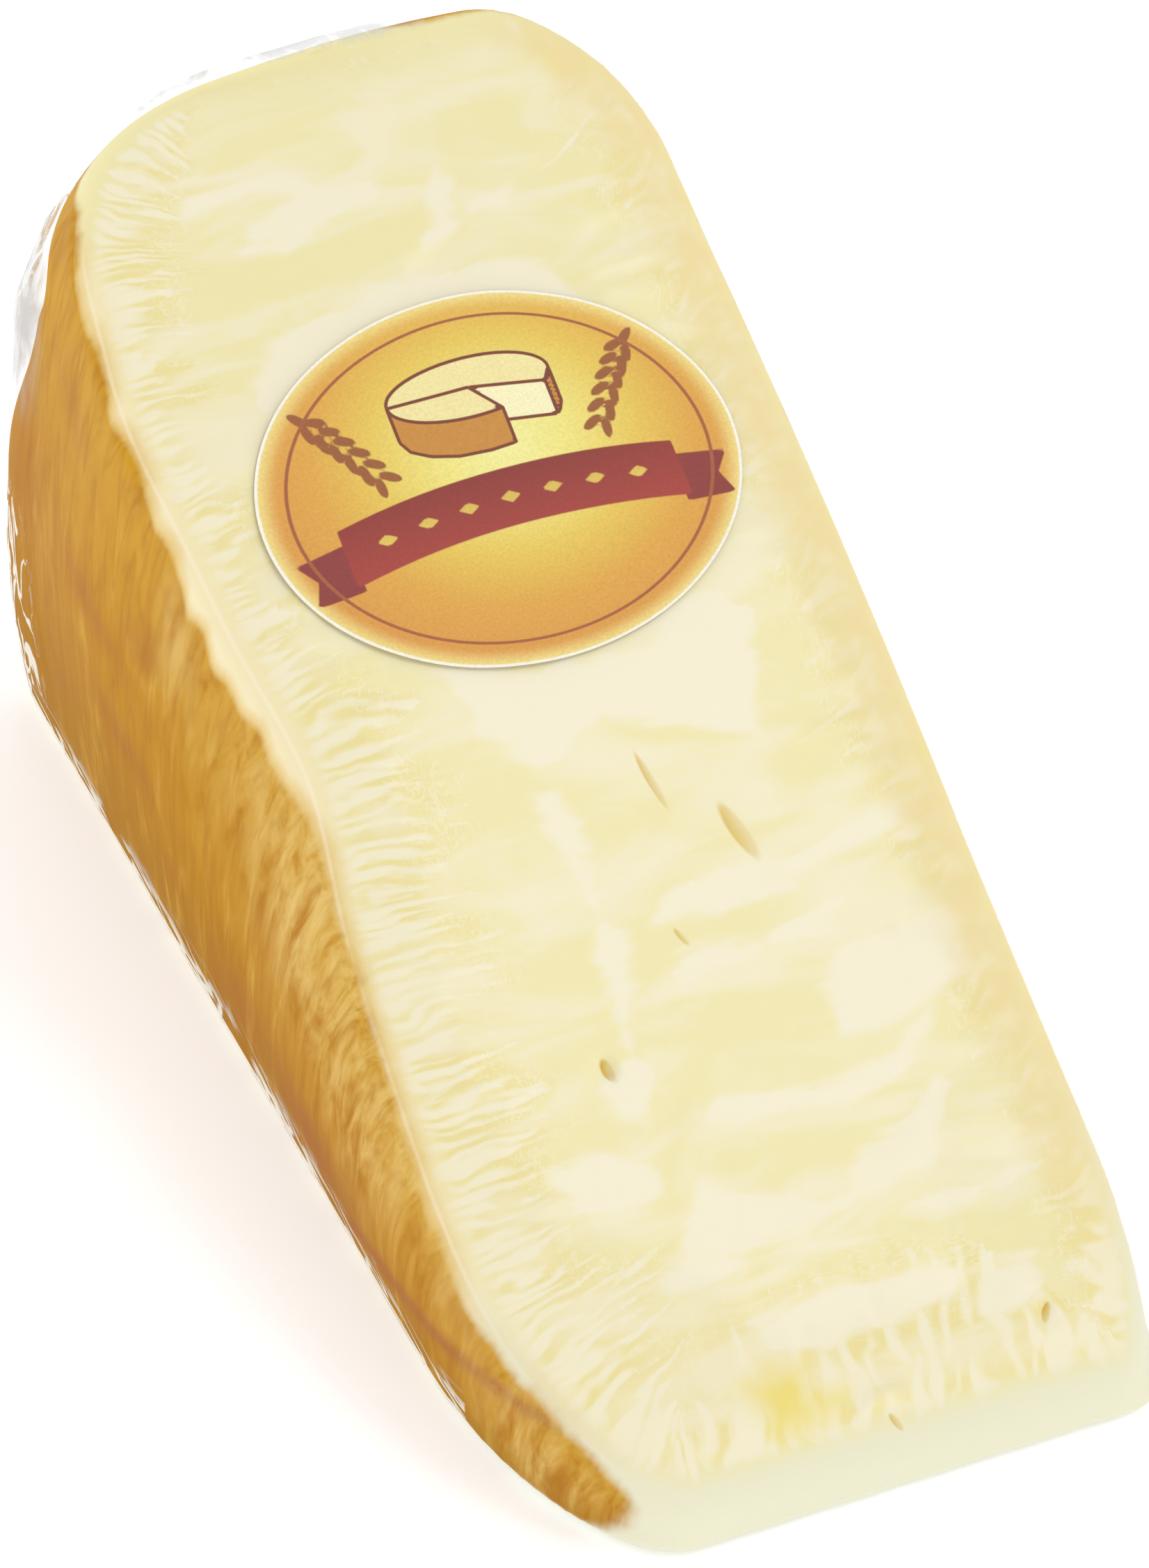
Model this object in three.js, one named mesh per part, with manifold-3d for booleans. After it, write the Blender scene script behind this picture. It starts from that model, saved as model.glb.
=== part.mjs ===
// A wedge of washed-rind cheese in tight clear film, with an oval paper label on its upper cut face.
// It is one sector of a small wheel and lies on its lower cut face.
// Millimetres, +Z up. X runs along the wheel's axis, and +Y from the wedge's tip to the wheel's rim.
// The origin is the bottom centre of the wedge's bounding box.
import * as THREE from "three";
import { mergeVertices } from "three/addons/utils/BufferGeometryUtils.js";
import Module from "manifold-3d";

// The wheel and the cuts.
const WHEEL_RADIUS = 117.9;
const WHEEL_HEIGHT = 46;
const CUT_ANGLE = THREE.MathUtils.degToRad(33.2);
const TIP_SLANT = -0.08; // the tip is cut a little askew

// The two cut faces: how far from the wheel's axis the soft tip is blunted, and the corners' half widths
// [along the wheel's axis, along its radius].
const LOWER_FACE = {
  tip: 9,
  rimLeft: [3, 4],
  rimRight: [4, 5],
  tipLeft: [10, 24],
  tipRight: [4, 5],
};
const UPPER_FACE = {
  tip: 10.5,
  rimLeft: [15.5, 15],
  rimRight: [11, 15],
  tipLeft: [10, 22],
  tipRight: [5, 15],
};

// Soft edges round the cut faces.
const UPPER_EDGE = 1.8;
const UPPER_EDGE_AT_TIP = 2.8;
const LOWER_EDGE = 0.9;
const TIP_EDGE_REACH = 14; // the tip's softer edge fades out over this radius

// How the ripe paste has moved: the rind bulges, and the upper long edges wave in and out.
const RIND_BULGE = 0.7;
const SHOULDER_DROP = 0.7;
const SHOULDER_REACH = 3.5;
const EDGE_SWELLS = [
  { side: -1, at: 93, reach: 9, swell: 1.2 },
  { side: -1, at: 65, reach: 9, swell: -1.8 },
  { side: -1, at: 36, reach: 9, swell: 0.4 },
  { side: 1, at: 72, reach: 26, swell: 0.6 },
];
const SWELL_INSET = 7; // how far in from the edge the upper face follows it
const SWELL_FROM = 0.8; // only the long edges move: from this share of the half width
const LONG_WAVE = { along: 0.075, ahead: 0.6, across: 0.11, aside: -0.4, height: 0.28 };
const SHORT_WAVE = { along: 0.21, skew: 0.13, across: 0.19, aside: 1.1, height: 0.14 };
const WAVES_FROM = 6; // the face's waves grow from its edge over this distance

// Film that stands off: along the rim's upper edge, and down its left corner with a fold near the top.
const RIM_TENT = { across: 4, width: 12, lift: 1.3, depth: 3.5, along: 4 };
const CORNER_TENT = {
  across: [7, 20.33], // from the middle line: where it starts, and where it is full
  along: [12, 4], // from the rim: where it starts, and where it is full
  lift: 1.1,
  fold: 1.3,
  foldHeight: 0.77,
  foldReach: 0.11,
};

// Puckers where the film is gathered over the upper edges.
const PUCKER_SEED = 11;
const PUCKER_GAP = [2.4, 4.6];
const PUCKER_HEIGHT = [0.12, 0.34];
const PUCKER_LENGTH = [6, 13];
const PUCKER_WIDTH = 0.85;
const PUCKER_START = [0.3, 1.6];
const PUCKER_FADE = 0.45; // the share of its length at which a pucker starts to fade

// Small openings in the paste: place across and along the radius, half width and length, turn in degrees,
// and depth.
const EYES = [
  { across: 2.5, along: 57.8, wide: 0.5, long: 2.4, turn: 12, deep: 0.9 },
  { across: 7.0, along: 52.4, wide: 0.75, long: 2.6, turn: 19, deep: 0.8 },
  { across: 0.1, along: 47.0, wide: 0.4, long: 1.0, turn: 30, deep: 0.6 },
  { across: -8.4, along: 40.0, wide: 0.9, long: 1.5, turn: 25, deep: 1.6 },
  { across: -5.6, along: 35.6, wide: 1.5, long: 1.9, turn: 40, deep: 0.7 },
  { across: 14.4, along: 15.4, wide: 0.6, long: 1.7, turn: 0, deep: 1.2 },
];

const EYE_RISE = 0.25; // a ball's middle stands above the face by this share of its depth
const EYE_FACETS = [10, 8];

// The label.
const LABEL_WIDE = 35.8;
const LABEL_LONG = 27.8;
const LABEL_ALONG = 81.8;
const LABEL_ACROSS = 0.4;
const LABEL_THICKNESS = 0.35;
const LABEL_GAP = 0.42;

// Mesh detail.
const OUTLINE_POINTS = 240;
const WALL_BANDS = 7;
const EDGE_BANDS = 3;
const FACE_INSETS = [0.9, 2.2, 3.8, 6, 9, 12.5, 17];
const LABEL_POINTS = 72;
const LABEL_RINGS = 5;
const MERGE_DISTANCE = 1e-4;

// A plain random generator's step: multiply, add, and keep the remainder.
const RANDOM_FACTOR = 1664525;
const RANDOM_STEP = 1013904223;
const RANDOM_RANGE = 2 ** 32;

const HALF = WHEEL_HEIGHT / 2;
const gauss = (distance, reach) => Math.exp(-((distance / reach) ** 2));
const mix = THREE.MathUtils.lerp;
const smooth = THREE.MathUtils.smoothstep;

// A repeatable random draw between 0 and 1.
function seededRandom(seed) {
  let state = seed;
  return () => {
    state = (state * RANDOM_FACTOR + RANDOM_STEP) % RANDOM_RANGE;
    return state / RANDOM_RANGE;
  };
}

// A cut face's outline as evenly spaced points [across, along the radius], from the middle of the tip
// round by the left.
function cutFaceOutline({ tip, rimLeft, rimRight, tipLeft, tipRight }) {
  const outline = new THREE.Path();
  outline.moveTo(0, tip);
  outline.lineTo(tipLeft[0] - HALF, tip);
  outline.absellipse(tipLeft[0] - HALF, tip + tipLeft[1], ...tipLeft, -Math.PI / 2, -Math.PI, true);
  outline.lineTo(-HALF, WHEEL_RADIUS - rimLeft[1]);
  outline.absellipse(rimLeft[0] - HALF, WHEEL_RADIUS - rimLeft[1], ...rimLeft, Math.PI, Math.PI / 2, true);
  outline.lineTo(HALF - rimRight[0], WHEEL_RADIUS);
  outline.absellipse(HALF - rimRight[0], WHEEL_RADIUS - rimRight[1], ...rimRight, Math.PI / 2, 0, true);
  outline.lineTo(HALF, tip + tipRight[1]);
  outline.absellipse(HALF - tipRight[0], tip + tipRight[1], ...tipRight, 0, -Math.PI / 2, true);
  outline.lineTo(0, tip);
  return outline.getSpacedPoints(OUTLINE_POINTS).slice(0, OUTLINE_POINTS);
}

const LOWER_OUTLINE = cutFaceOutline(LOWER_FACE);
const UPPER_OUTLINE = cutFaceOutline(UPPER_FACE);
const OUTLINE_STEP = UPPER_OUTLINE[0].distanceTo(UPPER_OUTLINE[1]);

// 1 at the tip, falling to 0 over a reach along the radius.
function nearTip(radius, reach) {
  return 1 - smooth(radius, LOWER_FACE.tip, LOWER_FACE.tip + reach);
}

// The outline point moved towards the cut face's middle line by a distance, with the tip's slant.
function insetPoint(point, inset) {
  const middleRadius = THREE.MathUtils.clamp(point.y, LOWER_FACE.tip + HALF, WHEEL_RADIUS - HALF);
  const middle = new THREE.Vector2(0, middleRadius);
  const inward = middle.sub(point);
  const moved = point.clone().addScaledVector(inward.clone().normalize(), Math.min(inset, inward.length()));
  moved.y += TIP_SLANT * moved.x * nearTip(moved.y, HALF);
  return moved;
}

// Ridges of gathered film, each at a place along the outline.
function makePuckers() {
  const random = seededRandom(PUCKER_SEED);
  const draw = ([low, high]) => mix(low, high, random());
  const puckers = [];
  let at = draw(PUCKER_GAP);
  while (at < OUTLINE_STEP * OUTLINE_POINTS) {
    puckers.push({ at, height: draw(PUCKER_HEIGHT), length: draw(PUCKER_LENGTH) });
    at += draw(PUCKER_GAP);
  }
  return puckers;
}

const PUCKERS = makePuckers();

// Height of the gathered film at a distance along the outline and an inset from it.
function puckerHeight(along, inset) {
  return PUCKERS.reduce((sum, pucker) => {
    const rise = smooth(inset, ...PUCKER_START);
    const fade = 1 - smooth(inset, pucker.length * PUCKER_FADE, pucker.length);
    return sum + pucker.height * rise * fade * gauss(along - pucker.at, PUCKER_WIDTH);
  }, 0);
}

// Long, low waves of the soft upper face.
function faceWaves(across, radius) {
  const { along, ahead } = LONG_WAVE;
  const long = Math.sin(radius * along + ahead) * Math.cos(across * LONG_WAVE.across + LONG_WAVE.aside);
  const skewed = radius * SHORT_WAVE.along + across * SHORT_WAVE.skew;
  const short = Math.sin(skewed) * Math.sin(across * SHORT_WAVE.across + SHORT_WAVE.aside);
  return LONG_WAVE.height * long + SHORT_WAVE.height * short;
}

// How far an upper long edge has moved across, at an outline point and a radius.
function edgeShift(point, radius) {
  return EDGE_SWELLS.reduce((sum, wave) => {
    const share = smooth(wave.side * point.x, HALF * SWELL_FROM, HALF);
    return sum + wave.side * share * wave.swell * gauss(radius - wave.at, wave.reach);
  }, 0);
}

// A point given across, along the radius, and at an angle round the wheel's axis.
function onArc(across, radius, angle) {
  return new THREE.Vector3(across, radius * Math.cos(angle), radius * Math.sin(angle));
}

// A point on the upper cut face, raised square to it, or upright at the tip.
function upperPoint(point, inset, raised) {
  const plan = insetPoint(point, inset);
  const across = plan.x + edgeShift(point, plan.y) * gauss(inset, SWELL_INSET);
  const lean = CUT_ANGLE * (1 - nearTip(plan.y, HALF));
  return onArc(across, plan.y, CUT_ANGLE).add(onArc(0, raised, lean + Math.PI / 2));
}

function upperEdgeRadius(point) {
  return mix(UPPER_EDGE, UPPER_EDGE_AT_TIP, nearTip(insetPoint(point, 0).y, TIP_EDGE_REACH));
}

// The outward direction at a point of an outline, in [across, radius].
function outward(outline, index) {
  const before = outline[(index + OUTLINE_POINTS - 1) % OUTLINE_POINTS];
  const after = outline[(index + 1) % OUTLINE_POINTS];
  const along = after.clone().sub(before).normalize();
  return new THREE.Vector2(-along.y, along.x);
}

// How far the rind bulges at a share of the wall's height.
function rindBulge(point, height) {
  return RIND_BULGE * 4 * height * (1 - height) * (1 - nearTip(point.y, 2 * HALF));
}

// How far the film stands off the rim's left corner at a share of the wall's height.
function cornerTent(point, height) {
  const [start, full] = CORNER_TENT.along;
  const nearRim = smooth(point.y, WHEEL_RADIUS - start, WHEEL_RADIUS - full);
  const nearLeft = smooth(-point.x, ...CORNER_TENT.across);
  const lift = CORNER_TENT.lift * (1 - (2 * height - 1) ** 4);
  const fold = CORNER_TENT.fold * gauss(height - CORNER_TENT.foldHeight, CORNER_TENT.foldReach);
  return nearRim * nearLeft * (lift + fold);
}

// How far the film stands off the rim's upper edge at a distance below it.
function rimTent(point, drop) {
  const atRim = smooth(point.y, WHEEL_RADIUS - RIM_TENT.along, WHEEL_RADIUS);
  const across = gauss(point.x - RIM_TENT.across, RIM_TENT.width);
  return RIM_TENT.lift * atRim * across * gauss(drop, RIM_TENT.depth);
}

function shoulder(inset) {
  return SHOULDER_DROP * gauss(inset, SHOULDER_REACH);
}

// A point of the lower soft edge: share 0 is on the base, and 1 at the foot of the wall.
function lowerEdgePoint(point, share) {
  const turn = (share * Math.PI) / 2;
  const plan = insetPoint(point, LOWER_EDGE * (1 - Math.sin(turn)));
  return new THREE.Vector3(plan.x, plan.y, LOWER_EDGE * (1 - Math.cos(turn)));
}

// A point of the upper soft edge: share 0 is at the top of the wall, and 1 on the upper face.
function upperEdgePoint(point, share) {
  const turn = (share * Math.PI) / 2;
  const soft = upperEdgeRadius(point);
  const inset = soft * (1 - Math.cos(turn));
  return upperPoint(point, inset, -soft * (1 - Math.sin(turn)) - shoulder(inset) * share);
}

// A point of the wall between the two soft edges, on an arc round the wheel's axis.
function wallPoint(index, height) {
  const low = lowerEdgePoint(LOWER_OUTLINE[index], 1);
  const high = upperEdgePoint(UPPER_OUTLINE[index], 0);
  const radius = mix(Math.hypot(low.y, low.z), Math.hypot(high.y, high.z), height);
  const angle = mix(Math.atan2(low.z, low.y), Math.atan2(high.z, high.y), height);
  return onArc(mix(low.x, high.x, height), radius, angle);
}

function wallRing(height) {
  return LOWER_OUTLINE.map((lower, index) => {
    const point = lower.clone().lerp(UPPER_OUTLINE[index], height);
    const base = wallPoint(index, height);
    const drop = base.distanceTo(wallPoint(index, 1));
    const swell = rindBulge(point, height) + cornerTent(point, height) + rimTent(point, drop);
    const out = outward(UPPER_OUTLINE, index).multiplyScalar(swell);
    return base.add(onArc(out.x, out.y, CUT_ANGLE * height));
  });
}

function lowerEdgeRing(share) {
  return LOWER_OUTLINE.map((point) => lowerEdgePoint(point, share));
}

function upperEdgeRing(share) {
  return UPPER_OUTLINE.map((point, index) => {
    const out = outward(UPPER_OUTLINE, index).multiplyScalar(rimTent(point, 0) * (1 - share ** 2));
    return upperEdgePoint(point, share).add(onArc(out.x, out.y, CUT_ANGLE));
  });
}

function upperFaceRing(extraInset) {
  return UPPER_OUTLINE.map((point, index) => {
    const inset = upperEdgeRadius(point) + extraInset;
    const plan = insetPoint(point, inset);
    const waves = faceWaves(plan.x, plan.y) * smooth(extraInset, 0, WAVES_FROM);
    return upperPoint(point, inset, waves + puckerHeight(index * OUTLINE_STEP, inset) - shoulder(inset));
  });
}

// One closed geometry from rings of equal length, stacked bottom to top, with each end filled by strips.
function closedFromRings(rings) {
  const count = rings[0].length;
  const positions = rings.flat().flatMap((p) => [p.x, p.y, p.z]);
  const triangles = [];
  for (let ring = 0; ring < rings.length - 1; ring++) {
    for (let i = 0; i < count; i++) {
      const a = ring * count + i;
      const b = ring * count + ((i + 1) % count);
      const c = a + count;
      const d = b + count;
      triangles.push(a, c, b, b, c, d);
    }
  }
  const fill = (first, facesUp) => {
    for (let i = 0; i < count / 2; i++) {
      const corners = [i, i + 1, count - i - 1, (count - i) % count].map((n) => first + n);
      const [a, b, c, d] = facesUp ? corners : [corners[3], corners[2], corners[1], corners[0]];
      if (b !== c) {
        triangles.push(a, c, b);
      }
      if (a !== d) {
        triangles.push(a, d, c);
      }
    }
  };
  fill(0, false);
  fill((rings.length - 1) * count, true);
  const geometry = new THREE.BufferGeometry();
  geometry.setAttribute("position", new THREE.Float32BufferAttribute(positions, 3));
  geometry.setIndex(triangles);
  return geometry;
}

function wedgeGeometry() {
  const shares = (bands, count = bands) => Array.from({ length: count }, (_, i) => i / bands);
  return closedFromRings([
    ...shares(EDGE_BANDS).map(lowerEdgeRing),
    ...shares(WALL_BANDS).map(wallRing),
    ...shares(EDGE_BANDS, EDGE_BANDS + 1).map(upperEdgeRing),
    ...FACE_INSETS.map(upperFaceRing),
  ]);
}

// A point above the upper face's waves.
function onUpperFace(across, along, raised) {
  const height = faceWaves(across, along) + raised;
  return onArc(across, along, CUT_ANGLE).add(onArc(0, height, CUT_ANGLE + Math.PI / 2));
}

// A flattened ball that opens the upper face, turned in the face's plane.
function eyeGeometry(eye) {
  const ball = new THREE.SphereGeometry(1, ...EYE_FACETS);
  ball.scale(eye.wide, eye.long, eye.deep);
  ball.rotateZ(THREE.MathUtils.degToRad(eye.turn));
  ball.rotateX(CUT_ANGLE);
  const centre = onUpperFace(eye.across, eye.along, eye.deep * EYE_RISE);
  return ball.translate(centre.x, centre.y, centre.z);
}

// The label: a thin oval sheet that follows the face's waves.
function labelGeometry() {
  const ring = (share, height) =>
    Array.from({ length: LABEL_POINTS }, (_, i) => {
      const turn = (-2 * Math.PI * i) / LABEL_POINTS - Math.PI / 2;
      const across = LABEL_ACROSS + (LABEL_WIDE / 2) * share * Math.cos(turn);
      const along = LABEL_ALONG + (LABEL_LONG / 2) * share * Math.sin(turn);
      return onUpperFace(across, along, LABEL_GAP + height);
    });
  const shares = Array.from({ length: LABEL_RINGS }, (_, i) => (i + 1) / LABEL_RINGS);
  const under = shares.map((share) => ring(share, 0));
  const over = shares.map((share) => ring(share, LABEL_THICKNESS)).reverse();
  return closedFromRings([...under, ...over]);
}

const wasm = await Module();
wasm.setup();

function toManifold(geometry) {
  const bare = geometry.clone();
  bare.deleteAttribute("normal");
  bare.deleteAttribute("uv");
  const merged = mergeVertices(bare, MERGE_DISTANCE);
  return new wasm.Manifold(
    new wasm.Mesh({
      numProp: 3,
      vertProperties: new Float32Array(merged.attributes.position.array),
      triVerts: new Uint32Array(merged.index.array),
    }),
  );
}

function toGeometry(manifold) {
  const mesh = manifold.getMesh();
  const geometry = new THREE.BufferGeometry();
  geometry.setAttribute("position", new THREE.BufferAttribute(mesh.vertProperties, 3));
  geometry.setIndex(new THREE.BufferAttribute(mesh.triVerts, 1));
  geometry.computeVertexNormals();
  return geometry;
}

function cutEyes(wedge) {
  const eyes = EYES.map((eye) => toManifold(eyeGeometry(eye)));
  return toGeometry(eyes.reduce((solid, eye) => solid.subtract(eye), toManifold(wedge)));
}

const wedge = new THREE.Mesh(
  cutEyes(wedgeGeometry()),
  new THREE.MeshStandardMaterial({ color: "#f0e4b0", roughness: 0.25, metalness: 0 }),
);
wedge.name = "cheese_in_film";

const label = new THREE.Mesh(
  labelGeometry(),
  new THREE.MeshStandardMaterial({ color: "#e0a63a", roughness: 0.6, metalness: 0 }),
);
label.name = "oval_label";

const part = new THREE.Group();
part.add(wedge, label);

// Puts the origin at the bottom centre of the bounding box.
const bounds = new THREE.Box3().setFromObject(part);
const centre = bounds.getCenter(new THREE.Vector3());
for (const mesh of part.children) {
  mesh.position.set(-centre.x, -centre.y, -bounds.min.z);
}

export default part;
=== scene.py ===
"""A wedge of washed-rind cheese in clear film, with an oval paper label: the dressed model, in metres."""
from math import cos, pi, radians, sin

import bpy
import numpy as np
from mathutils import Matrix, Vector


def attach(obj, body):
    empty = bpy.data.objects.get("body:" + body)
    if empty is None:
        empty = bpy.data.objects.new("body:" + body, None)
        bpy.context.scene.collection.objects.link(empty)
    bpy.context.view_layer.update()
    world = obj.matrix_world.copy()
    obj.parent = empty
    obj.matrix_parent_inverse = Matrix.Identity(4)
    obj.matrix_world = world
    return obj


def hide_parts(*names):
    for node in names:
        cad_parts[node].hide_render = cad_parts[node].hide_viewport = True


MM = 0.001

# The wheel that the wedge is cut from, in millimetres. Across is along the wheel's axis, along is out from it.
WHEEL_RADIUS = 117.9
HALF = 23.0
CUT = radians(33.2)
WHEEL_IN_ROW = Vector((0.199, -62.770, 0.0))  # the wheel's middle, seen from the part's origin
TIP_SLANT = -0.08
LOWER_FACE = {"tip": 9, "rim_left": (3, 4), "rim_right": (4, 5), "tip_left": (10, 24), "tip_right": (4, 5)}
UPPER_FACE = {
    "tip": 10.5, "rim_left": (15.5, 15), "rim_right": (11, 15), "tip_left": (10, 22), "tip_right": (5, 15),
}
# Where the upper face's sides swell or sink: side, along, reach, how far.
EDGE_SWELLS = [(-1, 93, 9, 1.2), (-1, 65, 9, -1.8), (-1, 36, 9, 0.4), (1, 72, 26, 0.6)]
# The soft upper face's waves: how high; pace along it and start, or lean; pace across it and start.
LONG_WAVE = {"high": 0.28, "along": (0.075, 0.6), "across": (0.11, -0.4)}
SHORT_WAVE = {"high": 0.14, "along": (0.21, 0.13), "across": (0.19, 1.1)}
CORNER_STEPS = 40
OUTLINE_STEPS = 900
BATCH = 4000  # points measured at a time

# The skins, in millimetres.
VOXEL = 0.5
FILM_GAP = 0.12
CORNER_GAP = {"across": 6, "along": 8, "deep": 2.6}
RIM_GAP = {"across": 4, "width": 12, "deep": 1.3, "reach": 3.0}
# How far the film's folds reach in from the face's edge on each side: along, and millimetres in.
LEFT_FOLDS = [
    (0, 13), (14, 14), (24, 13), (28, 11.5), (66, 11.5), (74, 6.5), (100, 8), (112, 9), (116, 7), (118, 1.5),
]
RIGHT_FOLDS = [(0, 9), (12, 7), (20, 7), (90, 8), (112, 8), (117, 0.8)]
LOWER_FOLDS_FROM = 400  # the lower edge's folds are counted from here, so its pattern is its own

# Small openings in the paste: across, along, half width, half length, turn in degrees, depth.
SOLID_FLAKE = (-5.6, 35.6, 1.5, 1.9, 40, 0.2)
EYES = [
    (2.3, 57.9, 0.3, 2.3, 10, 0.12),
    (6.9, 52.7, 0.62, 2.4, 15, 0.15),
    (0.05, 46.9, 0.22, 0.8, 22, 0.1),
    (-8.35, 39.9, 0.42, 0.85, 8, 0.7),
    (13.95, 14.9, 0.3, 0.75, -35, 0.5),
    (1.3, 11.8, 0.25, 0.75, 25, 0.1),
]
ANY_HEIGHT = 40

# The label, in millimetres.
LABEL_HALF = (17.9, 13.9)
LABEL_AT = (0.4, 81.8)
LABEL_LIFT = 0.16
LABEL_THICK = 0.12
LABEL_RINGS = 52

# The pale places on the cut face, where the film doesn't wet the paste, painted as the film's reflection over its
# air gap, as outlines of (across, along).
PALE_REFLECTION_PATCHES = [
    [(-11.2, 103.0), (-8.2, 102.6), (-4, 103.4), (0.2, 104), (-0.2, 106.2), (-5.5, 105.7), (-10.2, 105.2)],
    [(1.6, 100.2), (4.6, 101), (5.6, 107.6), (4.4, 107.2), (3, 103.6)],
    [(5.4, 101.6), (8.6, 101.2), (11.2, 103.8), (5.6, 103.8)],
    [(-14.6, 106.2), (-8.4, 107.2), (-5, 106.4), (-6.4, 108.4), (-14.2, 108.8)],
    [(-15, 93), (-12, 95.6), (-8, 97.3), (-3, 98.1), (2, 98.1), (6.5, 97.3), (9.6, 96.2), (12.6, 92.8), (0, 90),
     (-14, 90)],
    [(-9, 69.5), (-3, 68), (6, 68), (11.5, 70.5), (14.5, 67.5), (12.5, 62.5), (11, 58.5), (6, 61), (0, 62.5),
     (-5, 61), (-8, 64)],
    [(-6.3, 59.5), (-4, 59.2), (-3.5, 50), (-4.4, 44.6), (-5.6, 42), (-6.2, 38), (-7.2, 38.5), (-7, 43),
     (-6.2, 50)],
    [(-9.3, 38.2), (-8.4, 39.1), (-7, 38.8), (-6.4, 37.4), (-7.4, 36), (-8.9, 36.4)],
    [(-1.2, 48.6), (5, 48.2), (10, 47.6), (19, 49.8), (20, 51.2), (14, 51.4), (8, 50.6), (0, 50.3)],
    [(-1.5, 43.6), (5, 43.4), (11, 44.6), (14.5, 46.4), (14.8, 47.2), (10, 46.6), (4, 45.6), (-0.8, 45.9)],
    [(7.5, 36.5), (11, 36.2), (15, 37.4), (20, 39.2), (20, 43), (15, 42.4), (10.5, 42.6), (8, 40)],
    [(-4.8, 34.6), (0, 33), (6, 32), (10, 32.4), (14.6, 35.6), (14.8, 37), (10, 34.8), (4, 34.8), (-2, 36.4)],
    [(-15, 34.4), (-11, 34.8), (-8.2, 33.4), (-8, 30.6), (-11, 30.8), (-14.8, 32)],
    [(-6.6, 31.4), (-4.8, 31.6), (-2, 28.8), (2, 27.4), (5.6, 28.6), (10, 30), (14.6, 33.8), (12.6, 28.8),
     (10.4, 26.6), (6.6, 25), (-3, 25), (-7.6, 26.6)],
    [(-14.6, 26.2), (-8, 25.6), (0, 24.9), (8, 24.8), (17, 25), (18.4, 24), (10, 23.4), (0, 24), (-10, 24.8)],
    [(9.6, 16.2), (14, 16), (14.7, 18.9), (10.2, 19.1)],
    [(-6, 18), (2, 17.6), (9, 18), (9.4, 21), (0, 21.4), (-6, 21.2)],
]
# How far the paste has crept down over the rind's left side: along, and millimetres down.
CREPT_PASTE = [
    (16, -0.9), (20, -0.6), (24, 0.0), (26, 0.7), (28, 1.2), (30, 0.8), (32, 0.3), (36, 0.4), (40, -0.2),
    (44, -0.3), (48, -0.5), (52, -1.0), (56, -0.5), (60, -0.2), (62, 0.5), (64, 1.8), (66, 2.8), (68, 3.5),
    (70, 2.3), (72, 4.2), (74, 3.2), (76, 4.2), (78, 2.3), (80, 4.2), (82, 2.0), (84, 1.4), (86, 2.2),
    (88, 0.8), (90, -0.2), (92, -0.3), (94, 1.3), (96, -0.1), (98, 0.2), (100, 0.4), (102, 1.1),
    (104, 0.8), (106, -0.1),
]
# The one harder flake of paste, as an outline on the cut face.
FLAKE = [(-7.1, 34.6), (-5.0, 35.0), (-5.2, 37.4), (-6.1, 37.8), (-6.9, 36.6)]
# Pale places, and spots of painted dark reflection, on the left side: along, degrees up, half long, half high in
# degrees, share.
SUNNY_SPOTS = [
    (44, 32.5, 22, 3.5, 1.0), (57, 25, 15, 8, 0.9), (44, 20, 5, 9, 0.6), (32, 22, 9, 9, 0.25),
    (18, 16, 6, 14, 0.9), (80, 27, 2.5, 4, 0.6),
]
DARK_REFLECTION_SPOTS = [
    (51, 6.5, 8, 3.5, 0.9), (110, 15, 5, 5, 0.5), (93, 17, 7, 1.6, 0.5), (88, 11, 6, 1.6, 0.5),
    (66, 6, 5, 2.5, 0.5), (100, 27, 5, 2, 0.4), (29, 26, 4, 3, 0.4),
]
# The one long fold in the rind's left side, painted as a line of shade: along, and degrees up.
SHADED_FOLD = [(19.5, 31), (21, 27), (23, 23.5), (27, 17), (32, 12), (39, 7), (44, 5)]
# Yellow stains on the cut face, as outlines.
YELLOW_STAINS = [
    [(-8.2, 17.4), (-3.2, 17.6), (-3.8, 15.6), (-1.4, 14.6), (-4.2, 13.2), (-7.2, 14), (-7.6, 16.2)],
    [(16, 114.8), (18, 113.6), (19.8, 110.9), (18.2, 110.6), (16.6, 111.2), (16.6, 113)],
    [(20.3, 72.5), (22, 72.2), (22, 70.8), (20.6, 71)],
    [(21.3, 55), (22.6, 55), (22.4, 53.2), (21.3, 53.2)],
]

# The photograph's view, fitted to the wedge's edges: 25.8 degrees to the left and 39.6 degrees up.
CAMERA_TURN = radians(-25.77)
CAMERA_RISE = radians(39.62)
CAMERA_AIM = (3.580, 0.250, 20.0)  # millimetres
CAMERA_AWAY = 0.25699
CAMERA_LENS = 80.22
CAMERA_SENSOR = 36

# The studio's lamps: place, width and height, watts.
LAMPS = {
    "overhead_softbox": ((0.75, -0.70, 1.85), (0.55, 0.55), 7.6),
    "left_strip": ((-0.45, 0.45, 0.16), (0.05, 0.5), 0.9),
    "front_softbox": ((-0.75, -2.5, 1.1), (1.5, 1.5), 8.4),
}
LAMP_AIM = (0, 0, 0.03)
DAYLIGHT = 0.86


# ---- The label's print, drawn in millimetres from the label's middle ----

def oval(x, y, half_x, half_y, turn=0.0):
    """The outline of a turned oval."""
    c, s = cos(turn), sin(turn)
    steps = [(half_x * cos(k * pi / 8), half_y * sin(k * pi / 8)) for k in range(16)]
    return [(x + u * c - v * s, y + u * s + v * c) for u, v in steps]


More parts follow.
